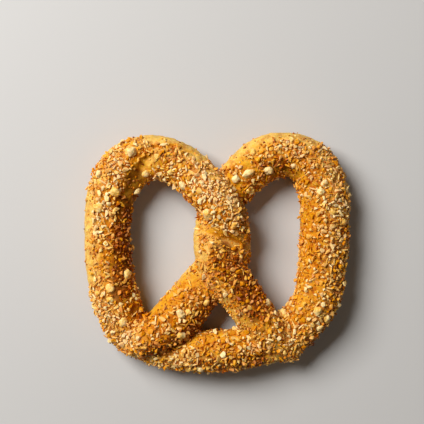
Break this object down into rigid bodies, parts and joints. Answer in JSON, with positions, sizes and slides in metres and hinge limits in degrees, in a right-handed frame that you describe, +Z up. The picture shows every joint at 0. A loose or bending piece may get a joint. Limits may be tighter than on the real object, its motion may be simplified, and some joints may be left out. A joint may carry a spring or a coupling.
{
  "type": "soft pretzel",
  "caption": "Soft baked pretzel: one rope of dough in two loops with a twist, its crust covered in coarse toasted crumbs.",
  "frame": {"origin": "middle of the pretzel's outline, on the surface that it lies on", "axes": "+X across the two loops, to the right when the loops point away; +Y from the bottom of the bow to the tops of the loops; +Z up, out of the crumbed face"},
  "size_m": [0.149, 0.1344, 0.0276],
  "materials": {
    "crust": "baked crust, golden to toasted brown, buttery satin",
    "crumb": "toasted crumb, straw to light brown, dry with small glints"
  },
  "bodies": {
    "root": {"baked_dough": "crust", "crumb_01": "crumb", "crumb_02": "crumb", "crumb_03": "crumb", "crumb_04": "crumb", "crumb_05": "crumb", "crumb_06": "crumb", "crumb_07": "crumb", "crumb_08": "crumb", "crumb_09": "crumb", "crumb_10": "crumb", "crumb_11": "crumb", "crumb_12": "crumb", "crumb_13": "crumb", "crumb_14": "crumb", "crumb_15": "crumb", "crumb_16": "crumb", "crumb_17": "crumb", "crumb_18": "crumb", "crumb_19": "crumb", "crumb_20": "crumb", "crumb_21": "crumb", "crumb_22": "crumb", "crumb_23": "crumb", "crumb_24": "crumb", "crumb_25": "crumb", "crumb_26": "crumb", "crumb_27": "crumb", "crumb_28": "crumb", "crumb_29": "crumb", "crumb_30": "crumb", "crumb_31": "crumb", "crumb_32": "crumb", "crumb_33": "crumb", "crumb_34": "crumb", "crumb_35": "crumb", "crumb_36": "crumb", "crumb_37": "crumb"}
  },
  "joints": []
}
